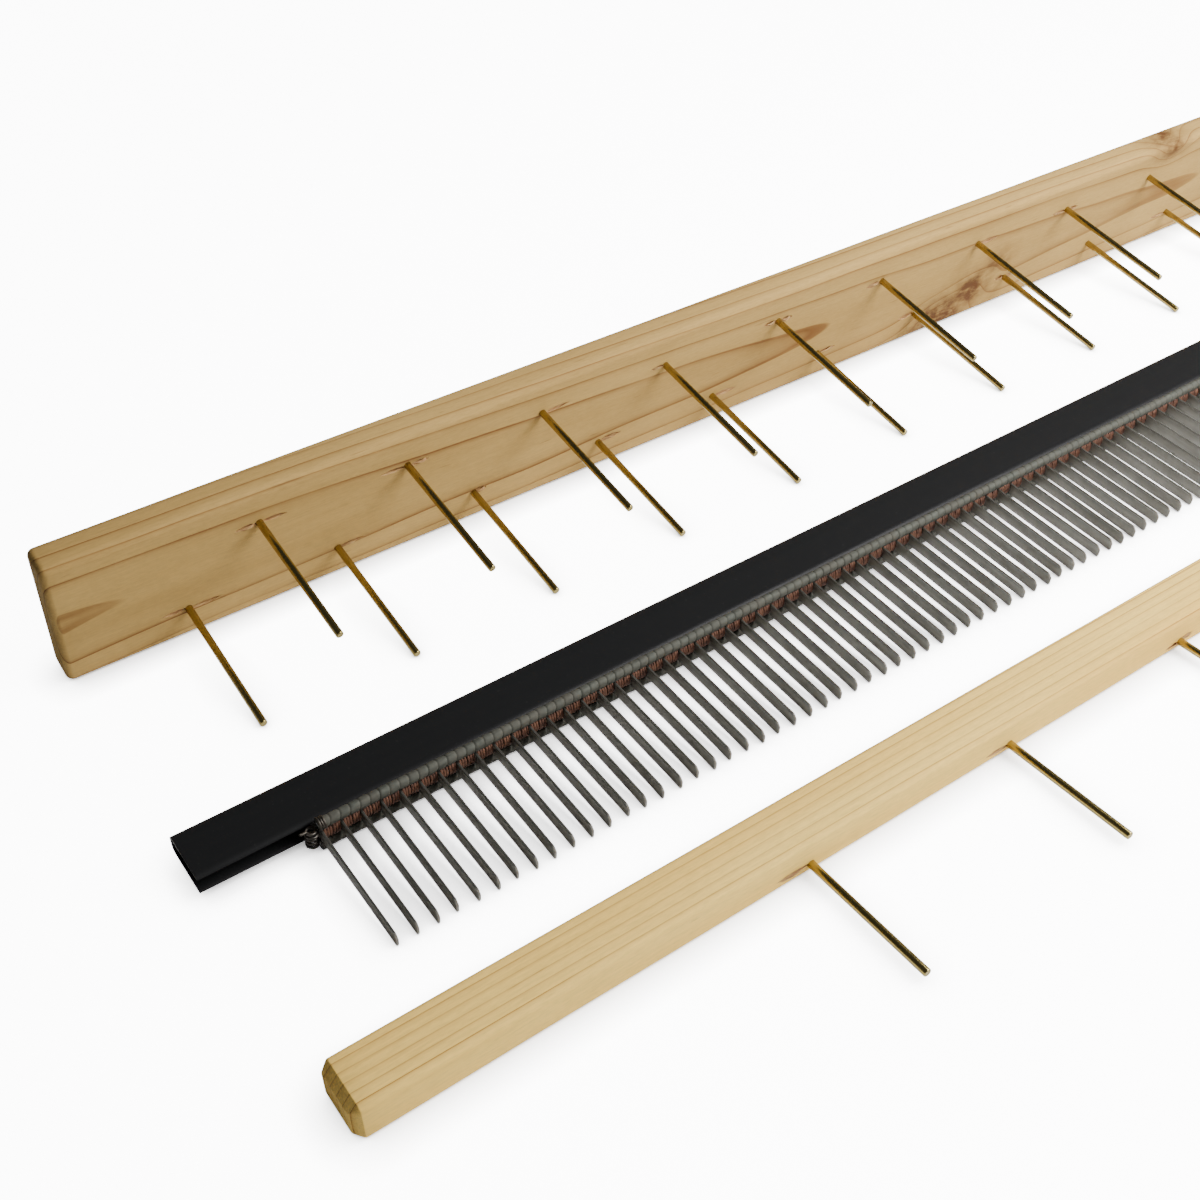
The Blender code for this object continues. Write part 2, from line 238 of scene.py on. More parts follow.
class Shader:
    """A material's node tree; sockets are passed on from one call to the next."""

    def __init__(self, name):
        self.material = bpy.data.materials.new(name)
        self.material.use_nodes = True
        self.tree = self.material.node_tree
        self.surface = self.tree.nodes["Principled BSDF"]

    def put(self, socket, value):
        if isinstance(value, bpy.types.NodeSocket):
            self.tree.links.new(value, socket)
        else:
            socket.default_value = value

    def node(self, kind, inputs=None, **settings):
        made = self.tree.nodes.new("ShaderNode" + kind)
        for key, value in settings.items():
            setattr(made, key, value)
        for key, value in (inputs or {}).items():
            self.put(made.inputs[key], value)
        return made

    def math(self, operation, a, b=0.0, c=0.0, clamp=False):
        made = self.node("Math", {0: a, 1: b, 2: c}, operation=operation, use_clamp=clamp)
        return made.outputs[0]

    def coordinates(self, scale=(1, 1, 1), offset=(0, 0, 0)):
        source = self.node("TexCoord").outputs["Object"]
        return self.node("Mapping", {"Vector": source, "Scale": scale, "Location": offset}).outputs[0]

    def noise(self, scale, stretch=(1, 1, 1), detail=3.0, rough=0.5, offset=(0, 0, 0)):
        vector = self.coordinates(tuple(scale * s for s in stretch), offset)
        made = self.node("TexNoise", {"Vector": vector, "Scale": 1.0, "Detail": detail, "Roughness": rough})
        return made.outputs[0]

    def ramp(self, value, *stops):
        """A colour ramp; each stop is (position, grey or (r, g, b))."""
        made = self.node("ValToRGB", {"Fac": value})
        elements = made.color_ramp.elements
        while len(elements) > 2:
            elements.remove(elements[-1])
        while len(elements) < len(stops):
            elements.new(0.5)
        for element, (position, color) in zip(elements, stops):
            element.position = position
            rgb = (color,) * 3 if isinstance(color, (int, float)) else color
            element.color = (*rgb, 1.0)
        return made.outputs[0]

    def mix(self, factor, a, b, blend="MIX"):
        made = self.node("Mix", data_type="RGBA", blend_type=blend)
        self.put(made.inputs[0], factor)
        self.put(made.inputs[6], a if isinstance(a, bpy.types.NodeSocket) else (*a, 1.0))
        self.put(made.inputs[7], b if isinstance(b, bpy.types.NodeSocket) else (*b, 1.0))
        return made.outputs[2]

    def bump(self, height, distance, strength=1.0):
        return self.node("Bump", {"Height": height, "Distance": distance, "Strength": strength}).outputs[0]

    def finish(self, **inputs):
        for key, value in inputs.items():
            self.put(self.surface.inputs[key.replace("_", " ")], value)
        return self.material


def wood(name, colors, pith, spacing, taper, warp, knots=(), line_strength=0.75):
    """Softwood whose growth rings run round a pith line outside the bar, in the bar's frame.

    Each knot is (x, z, half length, half height, push on the rings, darkness).
    """
    light, mid, line_color, dark = colors
    s = Shader(name)
    position = s.node("SeparateXYZ", {0: s.coordinates()})
    x, y, z = position.outputs
    slow = s.math("SUBTRACT", s.noise(1.0, (7, 26, 26), 2.0), 0.5)
    wander = s.math("SUBTRACT", s.noise(1.0, (2.6, 4, 4), 1.0, offset=(3.7, 1.3, 0)), 0.5)
    across = s.math("ADD", s.math("SUBTRACT", z, pith[1]), s.math("MULTIPLY", wander, warp * 2.6))
    out = s.math("SUBTRACT", y, pith[0])
    squares = s.math("ADD", s.math("MULTIPLY", across, across), s.math("MULTIPLY", out, out))
    distance = s.math("SQRT", squares)
    distance = s.math("ADD", distance, s.math("MULTIPLY", slow, warp))
    distance = s.math("MULTIPLY_ADD", x, taper, distance)
    blotch = None
    for kx, kz, half_x, half_z, push, depth in knots:
        dx = s.math("DIVIDE", s.math("SUBTRACT", x, kx), half_x)
        dz = s.math("DIVIDE", s.math("SUBTRACT", z, kz), half_z)
        squared = s.math("ADD", s.math("MULTIPLY", dx, dx), s.math("MULTIPLY", dz, dz))
        bell = s.math("POWER", EULER, s.math("MULTIPLY", squared, -1.0))
        distance = s.math("MULTIPLY_ADD", bell, push, distance)
        cloud = s.math("MULTIPLY", bell, depth)
        blotch = cloud if blotch is None else s.math("MAXIMUM", blotch, cloud)
    rings = s.math("DIVIDE", distance, spacing)
    phase = s.math("FRACT", rings)
    each = s.node("TexWhiteNoise", {"W": s.math("FLOOR", rings)}, noise_dimensions="1D").outputs[0]
    line = s.ramp(phase, (0.0, 0.0), (0.50, 0.0), (0.80, 0.17), (0.91, 0.58), (0.945, 1.0), (0.985, 0.85),
                  (1.0, 0.0))
    broken = s.ramp(s.noise(1.0, (14, 160, 160), 2.0), (0.28, 0.55), (0.55, 1.0))
    weight = s.math("MULTIPLY_ADD", each, 0.55, 0.45)
    line = s.math("MULTIPLY", s.math("MULTIPLY", line, broken), s.math("MULTIPLY", weight, line_strength))
    bands = s.noise(1.0, (6, 60, 60), 3.0, offset=(9, 0, 0))
    base = s.mix(s.ramp(bands, (0.3, 0.0), (0.7, 1.0)), light, mid)
    fibre = s.noise(1.0, (34, 1300, 1300), 4.0, 0.65)
    base = s.mix(0.30, base, s.ramp(fibre, (0.25, 0.50), (0.75, 1.0)), "MULTIPLY")
    vessels = s.noise(1.0, (300, 1700, 1700), 3.0, 0.7, offset=(4, 4, 0))
    base = s.mix(0.30, base, s.ramp(vessels, (0.30, 0.55), (0.62, 1.0)), "MULTIPLY")
    color = s.mix(line, base, line_color)
    facing = s.node("SeparateXYZ", {0: s.node("TexCoord").outputs["Normal"]}).outputs[0]
    end_grain = s.ramp(s.math("ABSOLUTE", facing), (0.35, 0.0), (0.85, 1.0))
    pores = s.noise(1.0, (60, 2600, 2600), 3.0, 0.7, offset=(0, 0, 8))
    open_end = s.mix(0.75, color, s.ramp(pores, (0.30, 0.42), (0.68, 0.95)), "MULTIPLY")
    color = s.mix(s.math("MULTIPLY", end_grain, 0.85), color, open_end)
    fleck = s.ramp(s.noise(1.0, (55, 620, 620), 2.0, offset=(0, 5, 0)), (0.70, 0.0), (0.76, 1.0))
    color = s.mix(s.math("MULTIPLY", fleck, 0.35), color, dark)
    if blotch is not None:
        swirl = s.noise(1.0, (130, 210, 210), 5.0, 0.62, offset=(2, 0, 4))
        mottled = s.math("MULTIPLY", blotch, s.ramp(swirl, (0.30, 0.15), (0.66, 1.0)), clamp=True)
        color = s.mix(mottled, color, dark)
    relief = s.math("MULTIPLY_ADD", line, -0.5, fibre)
    rough = s.ramp(fibre, (0.2, 0.68), (0.8, 0.82))
    return s.finish(Base_Color=color, Roughness=rough, Normal=s.bump(relief, 0.00012, 0.5),
                    Specular_IOR_Level=0.08)


def torn_wood_and_shade():
    """Rougher torn wood inside a tear: the fibres' own tone, with its darkest tones painted shade for the hollow.
    """
    s = Shader("torn_wood_and_shade")
    fibre = s.noise(1.0, (90, 1800, 1800), 4.0, 0.7)
    # The near-black stops are painted shade in the tear's hollow; the same ramp also colours the pale splinters.
    color = s.ramp(fibre, (0.25, (0.13, 0.052, 0.016)), (0.5, (0.36, 0.190, 0.065)),
                   (0.75, (0.72, 0.50, 0.20)))
    return s.finish(Base_Color=color, Roughness=0.8, Normal=s.bump(fibre, 0.0003, 0.8))


def brass():
    """Drawn brass rod: lengthwise drawing marks and a thin uneven tarnish."""
    s = Shader("drawn_brass")
    drawn = s.noise(1.0, (2600, 12, 2600), 3.0, 0.6)
    tarnish = s.ramp(s.noise(1.0, (420, 160, 420), 3.0, 0.55), (0.34, 0.0), (0.72, 1.0))
    clean = s.mix(s.ramp(drawn, (0.3, 0.0), (0.7, 1.0)), (0.33, 0.262, 0.090), (0.46, 0.365, 0.140))
    color = s.mix(s.math("MULTIPLY", tarnish, 0.20), clean, (0.22, 0.16, 0.055))
    rough = s.math("MULTIPLY_ADD", tarnish, 0.03, s.ramp(drawn, (0.2, 0.20), (0.8, 0.24)))
    return s.finish(Base_Color=color, Metallic=1.0, Roughness=rough, Normal=s.bump(drawn, 0.00001, 0.06))


def black_plastic():
    """Extruded black plastic: faint lengthwise die lines, soft orange peel and a little dust."""
    s = Shader("black_extrusion")
    lines = s.noise(1.0, (4, 900, 900), 2.0, 0.6)
    peel = s.noise(420, (0.4, 1, 1), 3.0)
    dust = s.ramp(s.noise(1.0, (900, 900, 900), 2.0), (0.66, 0.0), (0.74, 1.0))
    color = s.mix(s.math("MULTIPLY", dust, 0.03), (0.0100, 0.0100, 0.0104), (0.20, 0.20, 0.19))
    rough = s.math("MULTIPLY_ADD", peel, 0.10, s.ramp(lines, (0.3, 0.30), (0.7, 0.37)))
    height = s.math("MULTIPLY_ADD", lines, 0.6, s.math("MULTIPLY", peel, 0.5))
    return s.finish(Base_Color=color, Roughness=rough, Normal=s.bump(height, 0.00005, 0.25),
                    Specular_IOR_Level=0.10)


def steel(name, dark, light, stretch, roughness, grime=0.35, metallic=0.85, updown_painted_shade=0.0):
    """Dull bare steel with rolling or drawing marks and a grey-brown bloom.

    The last argument sets how much darker the faces that look up or down are painted: painted shade that dims the
    light they catch from above.
    """
    s = Shader(name)
    marks = s.noise(1.0, stretch, 4.0, 0.65)
    bloom = s.ramp(s.noise(1.0, (150, 60, 150), 4.0, 0.6, offset=(1, 2, 3)), (0.35, 0.0), (0.7, 1.0))
    color = s.mix(s.ramp(marks, (0.28, 0.0), (0.72, 1.0)), dark, light)
    color = s.mix(s.math("MULTIPLY", bloom, grime), color, (0.115, 0.095, 0.075))
    # Painted shade: faces that look up or down are darkened towards a near-black grey, by the last argument.
    painted_shade_facing = s.math("ABSOLUTE", s.node("SeparateXYZ", {0: s.node("TexCoord").outputs["Normal"]}).outputs[2])
    color = s.mix(s.ramp(painted_shade_facing, (0.55, 0.0), (0.9, updown_painted_shade)), color, (0.050, 0.047, 0.040))
    rough = s.math("MULTIPLY_ADD", bloom, 0.12, s.ramp(marks, (0.25, roughness), (0.75, roughness + 0.12)))
    return s.finish(Base_Color=color, Metallic=metallic, Roughness=rough, Normal=s.bump(marks, 0.00002, 0.3),
                    Specular_IOR_Level=0.3)


def copper():
    """Dull copper-coloured wire with a cloudy bloom."""
    s = Shader("dull_copper_wire")
    cloud = s.noise(1.0, (420, 300, 420), 4.0, 0.6)
    color = s.ramp(cloud, (0.30, (0.045, 0.019, 0.012)), (0.52, (0.135, 0.060, 0.036)),
                   (0.74, (0.23, 0.108, 0.062)))
    return s.finish(Base_Color=color, Metallic=0.45, Roughness=s.ramp(cloud, (0.3, 0.66), (0.7, 0.52)),
                    Normal=s.bump(cloud, 0.00002, 0.4))


TAN_WOOD = wood("tan_softwood",
                ((0.518, 0.336, 0.112), (0.428, 0.269, 0.086), (0.150, 0.060, 0.016), (0.10, 0.042, 0.015)),
                pith=(-0.030, 0.0255), spacing=0.0040, taper=0.018, warp=0.0034,
                knots=((-0.035, 0.005, 0.015, 0.010, 0.010, 1.7), (-0.020, 0.013, 0.011, 0.009, 0.004, 1.6),
                       (-0.008, 0.023, 0.009, 0.007, 0.001, 0.9),
                       (0.086, 0.049, 0.010, 0.006, 0.008, 1.2), (0.250, 0.030, 0.014, 0.009, 0.008, 0.9)),
                line_strength=0.95)
PALE_WOOD = wood("pale_softwood",
                 ((1.0, 0.682, 0.184), (0.86, 0.537, 0.121), (0.32, 0.130, 0.024), (0.22, 0.09, 0.028)),
                 pith=(-0.075, 0.007), spacing=0.0029, taper=0.006, warp=0.0014,
                 knots=((0.19, 0.012, 0.012, 0.008, 0.003, 0.8),), line_strength=1.0)
TORN_WOOD_AND_SHADE = torn_wood_and_shade()
BRASS = brass()
BLACK = black_plastic()
# The dents' faces that look up or down carry painted shade (0.85).
DENT_STEEL = steel("rolled_dent_steel", (0.215, 0.208, 0.184), (0.335, 0.325, 0.292), (700, 18, 700),
                   0.42, 0.30, updown_painted_shade=0.85)
WRAP_STEEL = steel("dull_wrap_steel", (0.042, 0.046, 0.037), (0.090, 0.094, 0.077), (300, 900, 900), 0.60,
                   metallic=0.35)
TIE_STEEL = steel("dark_tie_wire", (0.035, 0.032, 0.028), (0.075, 0.070, 0.062), (600, 600, 600), 0.30,
                  grime=0.5)
ROD_STEEL = steel("drawn_rod_steel", (0.34, 0.34, 0.34), (0.50, 0.50, 0.50), (20, 900, 900), 0.30)
COPPER = copper()


# ---- wooden bars -------------------------------------------------------------------------

END_STEPS = 7
STATION_PITCH = 0.005
HAND_SANDED = 0.00018       # how unevenly the faces were planed and the edges rounded
LEVEL_END = (0, 0)          # how far an end's sections shift back and down as they shrink
UNEVEN_END = (0.35, 0.4)
HOLE_PLAY = 0.00006         # how much wider each hole is drawn than its pin
HOLE_DEEPER = 0.0004        # and how much deeper
HOLE_OVERRUN = 0.002        # how far a hole's cutter stands out of the face
SLIVER_THICKNESS = 0.00022


def rounded_end(radius):
    """How far in from the end each section stands, and how much smaller it is drawn."""
    quarter = [pi / 2 * k / END_STEPS for k in range(END_STEPS + 1)]
    return [(radius * (1 - cos(a)), radius * (1 - sin(a))) for a in quarter]


def sanded_end(size):
    """The same for an end whose edges were sanded off at a slant, with only slight rounding."""
    shares = ((0.0, 1.0), (0.03, 0.93), (0.10, 0.84), (0.5, 0.44), (0.86, 0.085), (0.95, 0.025), (1.1, 0.0))
    return [(size * x, size * inset) for x, inset in shares]


def bar_rings(depth, height, edge_round, near_end, uneven_end, seed):
    """Cross-sections along the bar; near the ends they shrink inwards, more at the top and front."""
    lean_back, lean_down = uneven_end
    middle_count = int((BAR_LENGTH - 2 * EDGE_ROUND) / STATION_PITCH)
    step = (BAR_LENGTH - 2 * EDGE_ROUND) / middle_count
    stations = [(-BAR_LENGTH / 2 + x, inset) for x, inset in near_end]
    stations += [(-BAR_LENGTH / 2 + EDGE_ROUND + step * k, 0.0) for k in range(1, middle_count)]
    stations += [(BAR_LENGTH / 2 - x, inset) for x, inset in reversed(near_end)]
    rings = []
    center = Vector((0, depth / 2, height / 2))
    for x, inset in stations:
        ring = []
        for y, z in rounded_rectangle(depth, height, edge_round, inset):
            point = Vector((x, y + inset * lean_back, z - inset * lean_down))
            uneven = 0.5 + 0.5 * noise.noise(Vector((x * 22 + seed, y * 90, z * 90)))
            inwards = Vector((0, center.y - y, center.z - z)).normalized()
            ring.append(point + inwards * (HAND_SANDED * min(max(uneven, 0), 1)))
        rings.append(ring)
    return rings


def temporary(name, mesh):
    holder = bpy.data.objects.new(name, mesh)
    bpy.context.scene.collection.objects.link(holder)
    return holder


def cut(board, cutters):
    """The board's mesh with each cutter taken away in turn; the helpers are removed."""
    holder = temporary("board_blank", board)
    helpers = [temporary("cutter", mesh) for mesh in cutters]
    for helper in helpers:
        modifier = holder.modifiers.new("cut", "BOOLEAN")
        modifier.operation = "DIFFERENCE"
        modifier.object = helper
        modifier.material_mode = "TRANSFER"
    bpy.context.view_layer.update()
    evaluated = holder.evaluated_get(bpy.context.evaluated_depsgraph_get())
    result = bpy.data.meshes.new_from_object(evaluated)
    for helper in [holder, *helpers]:
        bpy.data.objects.remove(helper, do_unlink=True)
    return result


def hole_cutter(seats, depth):
    """The pins' blind holes as one cutter."""
    bm = bmesh.new()
    for seat in seats:
        turn = Matrix.Rotation(pi / 2, 4, "X")
        middle = Matrix.Translation((seat.x, (depth - HOLE_OVERRUN) / 2, seat.z))
        bmesh.ops.create_cone(bm, cap_ends=True, segments=20, radius1=PIN_RADIUS + HOLE_PLAY,
                              radius2=PIN_RADIUS + HOLE_PLAY, depth=depth + HOLE_OVERRUN,
                              matrix=middle @ turn)
    mesh = bpy.data.meshes.new("pin_holes")
    bm.to_mesh(mesh)
    bm.free()
    return mesh


def leaf(center, half_length, half_width, depth, lean):
    """A shallow leaf-shaped hollow along the grain, drawn to a point at both ends."""
    bm = bmesh.new()
    bmesh.ops.create_icosphere(bm, subdivisions=3, radius=1.0)
    for vert in bm.verts:
        x, y, z = vert.co
        ragged = 1 + 0.35 * noise.noise(Vector((x * 3 + center[0] * 900, y * 2, z * 2)))
        narrow = (1 - 0.75 * x * x) * ragged
        vert.co = (x * half_length, y * depth * ragged, z * half_width * narrow + lean * x * half_length)
    bmesh.ops.translate(bm, verts=bm.verts, vec=(center[0], 0, center[1]))
    return bm


def tear_cutter(tears):
    """All the torn-out hollows of a board as one cutter, cut with torn wood inside whose darkest tones are painted
    shade.
    """
    combined = bmesh.new()
    for tear in tears:
        bm = leaf(*tear)
        part = bpy.data.meshes.new("tear")
        bm.to_mesh(part)
        bm.free()
        combined.from_mesh(part)
        bpy.data.meshes.remove(part)
    mesh = bpy.data.meshes.new("tears")
    combined.to_mesh(mesh)
    combined.free()
    mesh.materials.append(TORN_WOOD_AND_SHADE)
    return mesh


def tears_for(seats, seed, chance):
    """Beside some pins the drill tore out a sliver, to one side or to both."""
    draw = random.Random(seed)
    tears = []
    for seat in seats:
        for side in (-1, 1):
            if draw.random() > chance:
                continue
            half_length = draw.uniform(0.0022, 0.0062)
            half_width = draw.uniform(0.00065, 0.00120)
            middle = (seat.x + side * (half_length * 0.86 + 0.0006), seat.z + draw.uniform(-0.0006, 0.0008))
            tears.append((middle, half_length, half_width, draw.uniform(0.0006, 0.0011),
                          draw.uniform(-0.02, 0.08)))
    return tears


def splinter_parts(tears, seed):
    """Pale slivers still hanging in the hollows: thin three-sided spikes lifted at one end."""
    draw = random.Random(seed)
    parts = []
    for (x, z), half_length, half_width, depth, lean in tears:
        if half_length < 0.0022 or draw.random() < 0.25:
            continue
        side = 1 if draw.random() < 0.5 else -1
        length = half_length * draw.uniform(1.1, 1.6)
        root = Vector((x - side * half_length * 0.8, depth * 0.55, z - half_width * 0.3))
        lift = depth * draw.uniform(1.1, 1.7)
        tip = root + Vector((side * length, -lift, half_width * 0.9 + lean * length))
        width, thick = half_width * 0.85, SLIVER_THICKNESS
        points = []
        steps = 6
        for k in range(steps + 1):
            t = k / steps
            center = root.lerp(tip, t) + Vector((0, -depth * 0.5 * sin(pi * t), 0))
            half = width * (1 - t) ** 0.7 + 0.00003
            slab = thick * (1 - 0.8 * t)
            points += [center + Vector((0, 0, half)), center + Vector((0, -slab, 0)),
                       center + Vector((0, 0, -half)), center + Vector((0, slab, 0))]
        parts.append((points, ring_faces(steps + 1, 4)))
    return parts


def wooden_bar(name, node, size, shape, where, body, slot, material, seats, pin_depth, seed, chance):
    """A planed bar with its pin holes, tears and splinters; shape is its edges and its ends."""
    board = mesh_of_rings(name, bar_rings(*size, *shape, seed))
    board.materials.append(material)
    tears = tears_for(seats, seed, chance)
    result = cut(board, [hole_cutter(seats, pin_depth + HOLE_DEEPER), tear_cutter(tears)])
    result.name = name
    smooth(result, 28)
    piece = bpy.data.objects.new(name, result)
    bpy.context.scene.collection.objects.link(piece)
    piece.matrix_world = where
    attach(piece, body)
    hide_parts(node)
    slivers = splinter_parts(tears, seed + 1)
    if slivers:
        mesh = smooth(join_meshes(name + "_splinters", slivers), 50)
        add(name + "_splinters", mesh, where, body, slot, TORN_WOOD_AND_SHADE)


# ---- pins --------------------------------------------------------------------------------

PIN_SIDES = 28
PIN_TIP_ROUND = 0.00035
PIN_ROOT_BEVEL = 0.0003


def pin_mesh(name, out, pressed_in):
    """A drawn rod along -Y with a rounded tip edge and a slightly dished sawn end."""
    root = pressed_in - PIN_ROOT_BEVEL
    straight = pressed_in + out - 0.001
    profile = [(PIN_RADIUS * 0.7, pressed_in), (PIN_RADIUS, root)]
    profile += [(PIN_RADIUS, root - straight * k / 12) for k in range(1, 12)]
    corner = (PIN_RADIUS - PIN_TIP_ROUND, PIN_TIP_ROUND - out)
    profile += [(corner[0] + PIN_TIP_ROUND * cos(a), corner[1] - PIN_TIP_ROUND * sin(a))
                for a in [pi / 2 * k / 5 for k in range(6)]]
    profile += [(PIN_RADIUS * 0.45, -out + 0.00004), (PIN_RADIUS * 0.12, -out + 0.0001)]
    angles = [2 * pi * k / PIN_SIDES for k in range(PIN_SIDES)]
    rings = [[(r * cos(a), y, r * sin(a)) for a in angles] for r, y in profile]
    return smooth(mesh_of_rings(name, rings), 50)


def add_pins(prefix, size, where, body):
    """One separate piece for each pin of a row, each turned a little round its own axis."""
    draw = random.Random(len(prefix))
    mesh = pin_mesh(prefix + "_rod", *size)
    for node in pin_nodes(prefix):
        spin = Matrix.Rotation(draw.uniform(0, 2 * pi), 4, "Y")
        seat = Matrix.Translation(node_seat(node, where))
        add(node + "_rod", mesh, where @ seat @ spin, body, "brass", BRASS, node)


# ---- the channel -------------------------------------------------------------------------

LIP_ROUND = CHANNEL_WALL * 0.48
LIP_ROLL = 0.0021           # how far the upper lip's soft roll reaches back from its edge


def channel_outline():
    """Section of the channel: outside from the upper lip round the back, then back inside."""
    depth, height, wall, corner = CHANNEL_DEPTH, CHANNEL_HEIGHT, CHANNEL_WALL, CHANNEL_CORNER
    inner = corner - wall
    outside = [(LIP_ROLL * (1 - sin(a)), height - CHANNEL_WALL * 0.92 * (1 - cos(a)))
               for a in [pi / 2 * (1 - k / 9) for k in range(10)]]
    outside += [(depth * f, height) for f in (0.3, 0.45, 0.7)]
    outside += arc((depth - corner, height - corner), corner, 90, 0, 10)
    outside += arc((depth - corner, corner), corner, 0, -90, 10)
    outside += [(depth * f, 0.0) for f in (0.7, 0.45, 0.2)]
    outside += arc((LIP_ROUND, LIP_ROUND), LIP_ROUND, 270, 180, 5)
    inside = arc((LIP_ROUND, wall - LIP_ROUND * 0.8), LIP_ROUND * 0.8, 180, 90, 3)
    inside += arc((depth - corner, corner), inner, -90, 0, 6)
    inside += arc((depth - corner, height - corner), inner, 0, 90, 6)
    inside += [(LIP_ROUND, height - wall), (LIP_ROUND * 0.2, height - wall + 0.00002)]
    return outside + inside


def build_channel():
    outline = channel_outline()
    stations = 81
    rings = []
    for k in range(stations):
        x = BAR_LENGTH * (k / (stations - 1) - 0.5)
        ring = []
        for y, z in outline:
            slack = 0.5 + 0.5 * noise.noise(Vector((x * 9, y * 30, z * 40)))
            pull = 0.00007 * slack * (CHANNEL_HEIGHT / 2 - z) / (CHANNEL_HEIGHT / 2)
            ring.append((x, y, z + pull))
        rings.append(ring)
    mesh = smooth(mesh_of_rings("channel_extrusion", rings), 40)
    add("channel_extrusion", mesh, CHANNEL_PLACE, CHANNEL, "black_plastic", BLACK, "reed_channel")


# ---- the reed ----------------------------------------------------------------------------

DENT_EDGE = 0.00011
COPPER_RADIUS = 0.00040
COPPER_TURNS = (-0.00208, -0.00126, -0.00044, 0.00058, 0.00140, 0.00218)
COPPER_HALF_HEIGHT = 0.00190
COPPER_HALF_DEPTH = 0.00115
WRAPS_PER_DENT = 2
WRAP_GROOVE = 0.00026
WRAP_SLANT = 0.0011
# Across one turn of the wrap: the share of its width, and how much of the groove's depth.
WRAP_PROFILE = ((0.02, 0.75), (0.07, 0.25), (0.16, 0.04), (0.34, 0.0),
                (0.66, 0.0), (0.84, 0.04), (0.93, 0.25), (0.98, 0.75))
RIB_LENGTH = REED_SPAN + 2 * RIB_OVERHANG
RIB_OFFSET = DENT_HEIGHT / 2 + TOUCH_GAP + RIB_RADIUS    # from the dents' middle to a rib's axis
CORE_INSET = 0.0005
CORE_BEVEL = 0.0002


def dent_outline(inset, length_change=0.0):
    """Side of one dent (y, z) from its butt to its tip, whose upper corner is well rounded."""
    tip = -(RIB_FORWARD + RIB_TO_TIP) + inset + length_change
    half = DENT_HEIGHT / 2 - inset
    nose = 0.00055
    points = [(DENT_BUTT - inset, half), (-RIB_FORWARD, half)]
    points += arc((tip + 0.0018, half - 0.0013), 0.0013, 90, 150, 6)
    points += arc((tip + nose, -half + nose + 0.0018), nose, 150, 180, 3)
    points += arc((tip + nose, -half + nose), nose, 180, 270, 4)
    points += [(-RIB_FORWARD, -half), (DENT_BUTT - inset, -half)]
    return points


def dent_part(x, draw):
    """One dent: a flat strip on edge with softened edges, leaning and twisting very slightly."""
    half = DENT_THICKNESS / 2
    shorter = draw.uniform(0.0, 0.0005)
    sway = draw.uniform(-0.00025, 0.00025)
    droop = draw.uniform(0.0, 0.00012)
    points = []
    layers = ((-half, DENT_EDGE), (-half + DENT_EDGE, 0), (half - DENT_EDGE, 0), (half, DENT_EDGE))
    for layer, inset in layers:
        for y, z in dent_outline(inset, shorter):
            reach = max(0.0, -y - RIB_FORWARD) / RIB_TO_TIP
            points.append((x + layer + sway * reach ** 2, y, DENT_MIDDLE + z + droop * reach))
    return points, ring_faces(4, len(points) // 4)


def build_dents():
    draw = random.Random(11)
    parts = [dent_part(-REED_SPAN / 2 + i * DENT_PITCH, draw) for i in range(DENT_COUNT)]
    mesh = smooth(join_meshes("dent_row", parts), 30)
    add("dent_row", mesh, REED_PLACE, REED, "dent_steel", DENT_STEEL, "reed_dents")


def copper_turn(x, slant):
    """One closed turn of the spacing wire: an upright oval, leaning along the reed."""
    around, sides = 18, 6
    points = []
    for k in range(around):
        a = 2 * pi * k / around
        out = Vector((0, cos(a), sin(a)))
        middle = Vector((x + slant * sin(a), -RIB_FORWARD + COPPER_HALF_DEPTH * cos(a),
                         DENT_MIDDLE + COPPER_HALF_HEIGHT * sin(a)))
        for j in range(sides):
            b = 2 * pi * j / sides
            points.append(middle + COPPER_RADIUS * (cos(b) * out + sin(b) * Vector((1, 0, 0))))
    return points, ring_faces(around, sides, closed_path=True)


def build_copper():
    draw = random.Random(23)
    parts = []
    for gap in range(DENT_COUNT - 1):
        middle = -REED_SPAN / 2 + (gap + 0.5) * DENT_PITCH
        for turn in COPPER_TURNS:
            parts.append(copper_turn(middle + turn + draw.uniform(-0.00003, 0.00003), 0.00008))
    mesh = smooth(join_meshes("spacing_wire", parts), 60)
    add("spacing_wire", mesh, REED_PLACE, REED, "copper_wire", COPPER)


def wrapped_rib(seed):
    """A rib wound with flat wire: a tube pinched between neighbouring turns, each turn leaning."""
    length = RIB_LENGTH
    pitch = DENT_PITCH / WRAPS_PER_DENT
    turns = int(length / pitch)
    pitch = length / turns
    sides = 22
    angles = [2 * pi * k / sides for k in range(sides)]
    draw = random.Random(seed)
    rings = []
    for turn in range(turns):
        slack = draw.uniform(0.0, 0.00006)
        for share, pinch in WRAP_PROFILE:
            x = -length / 2 + (turn + share) * pitch
            keep = min(1.0, (x + length / 2) / WRAP_SLANT, (length / 2 - x) / WRAP_SLANT)
            radius = RIB_RADIUS - slack - WRAP_GROOVE * pinch
            slant = WRAP_SLANT * max(keep, 0) * 0.5
            rings.append([(x + slant * sin(a), radius * cos(a), radius * sin(a)) for a in angles])
    return mesh_of_rings("rib_winding", rings)


def rib_core():
    """The rod inside a wrap, with its ends bevelled."""
    sides = 20
    angles = [2 * pi * k / sides for k in range(sides)]
    end, radius = RIB_LENGTH / 2, RIB_RADIUS - CORE_INSET - TOUCH_GAP
    profile = ((-end, radius * 0.7), (-end + CORE_BEVEL, radius),
               (end - CORE_BEVEL, radius), (end, radius * 0.7))
    rings = [[(x, r * cos(a), r * sin(a)) for a in angles] for x, r in profile]
    return smooth(mesh_of_rings("rib_core", rings), 50)


